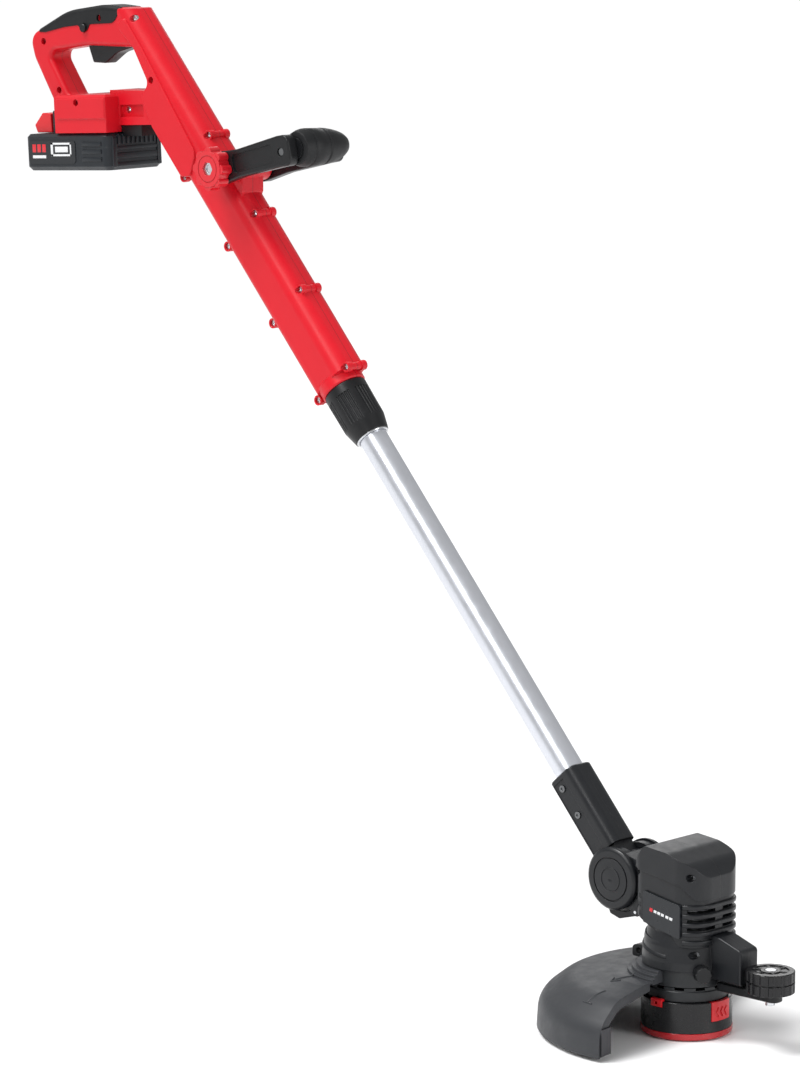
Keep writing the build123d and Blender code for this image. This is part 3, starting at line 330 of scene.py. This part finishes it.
add_look("screw", (0.62, 0.63, 0.65), 0.25, metallic=1.0, vary=0.08, grain=0.1, edge=0.0002,
         wear=1.25)
add_look("screw_dark", (0.17, 0.175, 0.18), 0.34, metallic=1.0, vary=0.1, grain=0.1, wear=1.6)
add_look("brass", (0.72, 0.50, 0.20), 0.26, metallic=1.0, vary=0.1, grain=0.1, edge=0.0002, wear=1.2)
add_look("copper", (0.62, 0.24, 0.10), 0.3, metallic=1.0, vary=0.12, grain=0.1, wear=1.3)
add_look("line", (0.62, 0.63, 0.56), 0.28, vary=0.08, grain=0.06, wear=1.1, coat=0.3)
add_look("print_white", (0.72, 0.73, 0.74), 0.4, vary=0.04, grain=0.03, edge=0.0002, wear=1.1)
add_look("print_red", (0.60, 0.02, 0.03), 0.38, vary=0.05, grain=0.03, edge=0.0002, wear=1.1)

NODE_LOOK = {
    "red_shell": ["handle_shell_right", "handle_shell_left"],
    "red_plain": ["aux_knob"],
    "red_trim": ["battery_release_button", "line_eyelets", "latch_front", "latch_rear"],
    "red_cap": ["bump_cap", "cup_ring"],
    "soft_black": ["grip_overmold", "aux_handle_grip"],
    "black": ["main_switch", "trigger", "lock_off_button", "dock_terminal_block", "tube_collet",
              "twist_collar", "shaft_lock_button", "aux_handle_frame", "guide_bush", "pivot_pedal",
              "wheel_arm", "wheel_clamp_knob"],
    "screw": ["handle_screws", "trigger_spring", "trigger_pin", "aux_handle_bolt", "aux_knob_nut",
              "pivot_bolt", "rotor_bearings", "head_screws", "wheel_axle", "reel_spring"],
    "screw_dark": ["aux_handle_screws", "sleeve_screws"],
    "brass": ["dock_contact_blades", "battery_terminals"],
    "pack": ["battery_case_lower", "battery_case_upper"],
    "cell": ["battery_cells"],
    "board": ["battery_board"],
    "label": ["battery_labels", "motor_label"],
    "tube": ["shaft_tube"],
    "head": ["sleeve_right", "sleeve_left", "motor_housing_right", "motor_housing_left"],
    "head_plain": ["pivot_disc_right", "pivot_disc_left"],
    "motor": ["motor_stator", "rotor_shaft"],
    "hub": ["bearing_plate", "spool_hub"],
    "guard": ["guard"],
    "blade": ["line_cutter"],
    "cup": ["spool_cup", "line_reel", "guide_wheel"],
    "line": ["line_winding"],
}
for look, names in NODE_LOOK.items():
    for node_name in names:
        mesh_data = NODES[node_name].data
        mesh_data.materials.clear()
        mesh_data.materials.append(LOOK[look])


# ---------------------------------------------------------------- springs, line and motor
def make_springs():
    """Coils in place of the CAD springs."""
    bm = bmesh.new()
    add_tube(bm, helix(10.3, 11.9, 33.1, 6.5), 0.8)
    spring = put(new_piece("reel_coil", bm), "spool", LOOK["screw"], ["reel_spring"])
    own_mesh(spring)
    low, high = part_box("trigger_spring")
    centre = (low + high) / 2
    bm = bmesh.new()
    coil = helix(2.1, 0.3, (high.z - low.z) / MM - 0.3, 3.0, 20)
    add_tube(bm, coil, 0.25, 6)
    place = Matrix.Translation((centre.x, centre.y, low.z))
    small = new_piece("trigger_coil", bm, place)
    put(small, "handle", LOOK["screw"], ["trigger_spring"])
    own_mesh(small)


def scallops(fixed, start, stop, count, bulge, vertical):
    """Rounded bumps along one side of a section, like strands lying next to each other."""
    points = []
    pitch = (stop - start) / count
    for strand in range(count):
        for step in range(5):
            angle = math.pi * (step + 0.5) / 5
            along = start + pitch * (strand + 0.5) - 0.5 * pitch * math.cos(angle)
            out = fixed + bulge * (math.sin(angle) - 1.0)
            points.append((out, along) if vertical else (along, out))
    return points


def make_line():
    """Cutting line wound on the reel, each strand showing."""
    profile = scallops(29.4, 11.2, 28.3, 11, 0.75, True)
    profile += scallops(28.5, 28.6, 15.4, 8, 0.7, False)
    profile += [(15.1, 28.0), (15.1, 11.4)]
    profile += [(across, 39.5 - up) for across, up in scallops(28.5, 15.4, 28.6, 8, 0.7, False)]
    bm = bmesh.new()
    add_lathe(bm, profile, 96)
    winding = new_piece("wound_line", bm, smooth=60.0)
    put(winding, "bump_cap", LOOK["line"], ["line_winding"])


def make_windings():
    """Copper end turns of the armature: name, radius, height and thickness of each set."""
    ends = (
        ("armature_turns_low", 8.6, 106.6, 2.8),
        ("armature_turns_top", 10.8, 146.0, 1.7),
    )
    for name, radius, height, thick in ends:
        bm = bmesh.new()
        for slot in range(12):
            angle = 2 * math.pi * slot / 12
            middle = Matrix.Rotation(angle, 4, "Z")
            loop = []
            for step in range(20):
                turn = 2 * math.pi * step / 20
                outward = radius + thick * 0.8 * math.cos(turn)
                sideways = 2.4 * math.sin(turn)
                upward = height + thick * 0.5 * math.cos(2 * turn)
                loop.append(middle @ Vector((outward, sideways, upward)))
            add_tube(bm, loop, 0.55, 6, closed=True)
        put(new_piece(name, bm), "spool", LOOK["copper"])


# ---------------------------------------------------------------- head details
def surface_tree(node_name):
    """Search tree over a CAD node's faces, for laying marks on them."""
    mesh = NODES[node_name].data
    return BVHTree.FromPolygons([v.co for v in mesh.vertices], [p.vertices for p in mesh.polygons])


def make_guard_marks():
    """Raised arrow and line mark on top of the guard, as on many guards: plain symbols."""
    tree = surface_tree("guard")
    arrow = [(-1.0, 0.0), (0.55, 0.0)]
    head = [(0.25, 0.34), (0.75, 0.0), (0.25, -0.34)]
    bar = [(-0.8, 0.0), (0.8, 0.0)]
    post = [(-0.8, -0.45), (-0.8, 0.45)]
    marks = (
        ("guard_arrow", (-24.0, -63.0), 15.0, 258.0, (arrow, head)),
        ("guard_line_mark", (-16.0, -105.0), 13.0, 82.0, (bar, post)),
    )
    for name, centre, size, turn, strokes in marks:
        bm = bmesh.new()
        angle = math.radians(turn)
        for stroke in strokes:
            points = []
            for (x0, y0), (x1, y1) in zip(stroke, stroke[1:]):
                for step in range(7):
                    share = step / 6
                    x = (x0 + (x1 - x0) * share) * size
                    y = (y0 + (y1 - y0) * share) * size
                    across = centre[0] + x * math.cos(angle) - y * math.sin(angle)
                    along = centre[1] + x * math.sin(angle) + y * math.cos(angle)
                    above = Vector((across * MM, along * MM, 0.2))
                    hit = tree.ray_cast(above, Vector((0, 0, -1)))[0]
                    if hit is None:
                        continue
                    if not points or (hit / MM - points[-1]).length > 0.2:
                        points.append(hit / MM)
            if len(points) > 1:
                add_tube(bm, points, 0.9, 8)
        put(new_piece(name, bm), "head", LOOK["guard"])


def make_neck_steps():
    """Two slanted raised bands around the rear right of the neck.

    Each band has its first and last angle, top height, fall along its length, height and radius.
    """
    bands = (
        (188, 292, 95.0, 7.0, 5.0, 38.6),
        (196, 282, 85.0, 6.0, 3.6, 40.6),
    )
    bm = bmesh.new()
    for start, stop, top, fall, tall, reach in bands:
        rings = []
        for step in range(33):
            share = step / 32
            angle = math.radians(start + (stop - start) * share)
            low = top - tall - fall * share
            high = top - fall * share
            section = (
                (reach - 4, low), (reach, low), (reach + 0.5, low + 0.6),
                (reach - 0.3, high - 0.5), (reach - 0.9, high), (reach - 4, high),
            )
            ring = []
            for radius, height in section:
                across, along = radius * math.cos(angle), radius * math.sin(angle)
                ring.append(bm.verts.new((across, along, height)))
            rings.append(ring)
        for here, there in zip(rings, rings[1:]):
            for index in range(6):
                after = (index + 1) % 6
                bm.faces.new((here[index], here[after], there[after], there[index]))
        bm.faces.new(list(reversed(rings[0])))
        bm.faces.new(rings[-1])
    put(new_piece("neck_steps", bm), "head", LOOK["head_plain"])


def make_motor_emblem():
    """Plain raised shapes on the label: a square and a row of bars, with no lettering."""
    low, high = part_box("motor_label")
    face = low.y / MM
    slope = math.atan2(-8.0, 44.0)
    middle = (low + high) / 2 / MM
    centre = Matrix.Translation(Vector((middle.x, face, middle.z)))
    turn = centre @ Matrix.Rotation(-slope, 4, "Y")
    bm = bmesh.new()
    add_box(bm, (-14, -0.25, -1.4), (-10.5, 0.25, 1.9), 0.2, turn)
    put(new_piece("emblem_square", bm), "head", LOOK["print_red"])
    bm = bmesh.new()
    for start, stop in ((-9.0, -5.6), (-4.6, -1.2), (-0.2, 3.2), (5.2, 8.8), (9.8, 13.4)):
        add_box(bm, (start, -0.25, -1.0), (stop, 0.25, 1.5), 0.2, turn)
    put(new_piece("emblem_bars", bm), "head", LOOK["print_white"])


def make_wheel_ribs():
    """Spokes in the recess on top of the guide wheel."""
    bm = bmesh.new()
    for spoke in range(6):
        spin = Matrix.Rotation(math.radians(60 * spoke + 20), 4, "Z")
        add_box(bm, (8.6, -1.3, 73.2), (16.8, 1.3, 74.75), 0.3, WHEEL @ spin)
    put(new_piece("guide_wheel_spokes", bm), "guide_wheel", LOOK["black"])


def make_disc_rings():
    """Fine raised ring on each pivot cover."""
    for side, name in ((-1, "pivot_ring_right"), (1, "pivot_ring_left")):
        bm = bmesh.new()
        profile = [(10.2, 0.0), (11.6, 0.0), (11.4, 0.55), (10.4, 0.55)]
        add_lathe(bm, profile, 64)
        outward = Matrix.Rotation(math.radians(90 if side < 0 else -90), 4, "X")
        place = Matrix.Translation(PIVOT + Vector((0, side * 28.25 * MM, 0))) @ outward
        put(new_piece(name, bm, place), "head", LOOK["head_plain"])


# ---------------------------------------------------------------- battery details
# White printed bars as left, bottom, right, top and bevel: an underline, a frame and its filled middle.
PRINT_BARS = (
    (-51.0, -24.5, -30.6, -21.5, 0.15),
    (-23.0, -22.5, 8.0, -20.5, 0.1),
    (-23.0, -11.0, 8.0, -9.0, 0.1),
    (-23.0, -22.5, -19.5, -9.0, 0.1),
    (6.0, -22.5, 8.0, -9.0, 0.1),
    (-16.5, -18.6, 3.0, -12.9, 0.15),
)


def make_battery_details():
    """Stepped fins on the battery's front end, and plain printed shapes on its sides."""
    bm = bmesh.new()
    for low, high in ((-33.5, -29.5), (-26.0, -20.0), (-17.0, -13.5)):
        add_box(bm, (62.0, -27.0, low), (65.2, 27.0, high), 0.9)
    for column in range(9):
        across = -24.0 + column * 6.0
        add_box(bm, (60.5, across - 1.0, -11.5), (65.4, across + 1.0, -1.4), 0.7)
    for side in SIDES:
        y = side * 29.5
        add_box(bm, (60.0, y - 2.6, -34.0), (65.6, y + 2.6, -4.0), 1.4)
        for row in range(3):
            near, far = sorted((side * 36.6, side * 37.9))
            height = -28.0 + row * 7.6
            add_box(bm, (24.0, near, height), (53.0, far, height + 4.4), 0.7)
    put(new_piece("battery_fins", bm, DOCK), "battery", LOOK["pack"])
    red, white = bmesh.new(), bmesh.new()
    for side in SIDES:
        near, far = sorted((side * 37.6, side * 37.2))
        for x in (-51.0, -43.5, -36.0):
            add_box(red, (x, near, -18.5), (x + 5.4, far, -10.5), 0.15)
        for x0, z0, x1, z1, bevel in PRINT_BARS:
            add_box(white, (x0, near, z0), (x1, far, z1), bevel)
    put(new_piece("battery_print_red", red, DOCK), "battery", LOOK["print_red"])
    put(new_piece("battery_print_white", white, DOCK), "battery", LOOK["print_white"])


def make_cell_bands():
    """Nickel straps that join the cells."""
    bm = bmesh.new()
    for side in SIDES:
        for pair in range(2):
            x = -38.5 + (2 * pair + (0 if side < 0 else 1)) * 19.2
            near, far = sorted((side * 32.55, side * 32.85))
            add_box(bm, (x - 4.0, near, -25.6), (x + 23.2, far, -19.6), 0.1)
    put(new_piece("cell_straps", bm, DOCK), "battery", LOOK["screw"])


# ---------------------------------------------------------------- shaft and handle details
def make_collar_ring():
    """Bright ring where the tube enters the collar."""
    bm = bmesh.new()
    add_lathe(bm, [(14.5, 496.0), (16.2, 496.0), (16.6, 496.6), (16.6, 497.2), (14.5, 497.2)], 96)
    put(new_piece("collar_mouth_ring", bm, SHAFT), "twist_collar", LOOK["screw"])


def make_front_grip():
    """Soft rounded grip between the front handle's arms, tapering over the far arm."""
    low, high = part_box("aux_handle_grip")
    centre = (low + high) / 2
    outer = [(13.2, -24.2), (15.8, -23.4), (17.8, -18.0)]
    for seam, reach in ((-13.0, 18.6), (7.0, 18.0)):
        groove = reach - 0.7
        outer += [(reach - 0.1, seam - 1.2), (groove, seam - 0.5)]
        outer += [(groove, seam + 0.5), (reach, seam + 1.2)]
    outer += [(17.4, 14.0), (16.2, 21.0), (14.4, 28.0), (12.2, 34.0)]
    outer += [(9.4, 38.5), (6.0, 41.0), (2.0, 42.0)]
    inner = [(1.0, 42.0), (1.0, 37.0), (10.2, 24.0), (10.2, -24.2)]
    profile = [(radius, -height) for radius, height in outer + inner]
    bm = bmesh.new()
    add_lathe(bm, profile, 72)
    place = Matrix.Translation(centre) @ Matrix.Rotation(math.radians(90), 4, "X")
    grip = new_piece("front_grip_cover", bm, place, 50.0)
    put(grip, "front_handle", LOOK["soft_black"], ["aux_handle_grip"])


def make_button_grip():
    """Small ridges on the shaft's lock tab."""
    bm = bmesh.new()
    for row in range(5):
        along = 616.0 + row * 4.0
        add_box(bm, (-25.2, -4.4, along), (-24.2, 4.4, along + 1.6), 0.3)
    ridges = new_piece("shaft_lock_ridges", bm, SHAFT)
    put(ridges, "shaft_lock_button", LOOK["black"])


make_springs()
make_line()
make_windings()
make_guard_marks()
make_neck_steps()
make_motor_emblem()
make_wheel_ribs()
make_disc_rings()
make_battery_details()
make_cell_bands()
make_collar_ring()
make_button_grip()
make_front_grip()


# ---------------------------------------------------------------- floor, light and camera
FLOOR_RADIUS = 40000.0
WORLD_STRENGTH = 0.44
SUN_POWER = 2.9
SUN_SPREAD = math.radians(25)
SUN_AIM = Vector((0.30, 0.42, -1.0))
# Soft round lights: name, place and target in metres, diameter, power.
LAMPS = (
    ("key", (0.2, -2.4, 2.2), (-0.3, 0, 0.4), 0.9, 22.0),
    ("fill", (2.6, 0.4, 1.2), (-0.3, 0, 0.4), 1.2, 26.0),
    ("rim", (-3.2, 3.4, 2.1), (-0.2, 0, 0.4), 1.6, 15.0),
)


def make_floor():
    """Plain pale floor, wide enough to fill every view."""
    bm = bmesh.new()
    bmesh.ops.create_circle(bm, cap_ends=True, segments=96, radius=FLOOR_RADIUS)
    floor = new_piece("floor", bm)
    graph = Graph("floor_paper")
    graph.shader.inputs["Roughness"].default_value = 0.6
    faint = graph.noise(3.0, detail=3.0)
    tone = graph.mix((0.86, 0.86, 0.865), (0.885, 0.885, 0.89))
    graph.link(faint, "Fac", tone, 0)
    graph.tree.links.new(tone.outputs[2], graph.shader.inputs["Base Color"])
    floor.data.materials.append(graph.material)


def add_light(name, place, target, size, power):
    """Soft round light that faces a target."""
    data = bpy.data.lights.new(name, "AREA")
    data.shape = "DISK"
    data.size = size
    data.energy = power
    lamp = bpy.data.objects.new(name, data)
    lamp.location = place
    lamp.rotation_euler = (Vector(target) - Vector(place)).to_track_quat("-Z", "Y").to_euler()
    bpy.context.scene.collection.objects.link(lamp)


def make_world():
    """Even white surroundings, shown without any colour grading."""
    world = bpy.data.worlds.new("studio")
    world.use_nodes = True
    backdrop = world.node_tree.nodes["Background"]
    backdrop.inputs["Color"].default_value = (1.0, 1.0, 1.0, 1.0)
    backdrop.inputs["Strength"].default_value = WORLD_STRENGTH
    bpy.context.scene.world = world
    bpy.context.scene.view_settings.view_transform = "Standard"


CAMERA_PLACE = Vector((2.460416, -2.875074, 1.110410))
CAMERA_AZIMUTH = math.radians(44.5)
CAMERA_ELEVATION = math.radians(9.8)
CAMERA_LENS = 145.35


def make_camera():
    """Camera at the viewing angle of the product view, with no shift or depth of field."""
    data = bpy.data.cameras.new("camera")
    data.sensor_fit = "AUTO"
    data.sensor_width = 36.0
    data.lens = CAMERA_LENS
    data.clip_end = 200.0
    camera = bpy.data.objects.new("camera", data)
    camera.location = CAMERA_PLACE
    level = math.cos(CAMERA_ELEVATION)
    across = -math.sin(CAMERA_AZIMUTH) * level
    ahead = math.cos(CAMERA_AZIMUTH) * level
    aim = Vector((across, ahead, -math.sin(CAMERA_ELEVATION)))
    camera.rotation_euler = aim.to_track_quat("-Z", "Y").to_euler()
    bpy.context.scene.collection.objects.link(camera)
    bpy.context.scene.camera = camera


def make_sun():
    """Broad sun that brightens the floor and gives soft shadows."""
    data = bpy.data.lights.new("sun", "SUN")
    data.energy = SUN_POWER
    data.angle = SUN_SPREAD
    sun = bpy.data.objects.new("sun", data)
    sun.rotation_euler = SUN_AIM.to_track_quat("-Z", "Y").to_euler()
    bpy.context.scene.collection.objects.link(sun)


make_floor()
make_world()
make_sun()
for lamp_name, lamp_place, lamp_target, lamp_size, lamp_power in LAMPS:
    add_light(lamp_name, lamp_place, lamp_target, lamp_size, lamp_power)
make_camera()
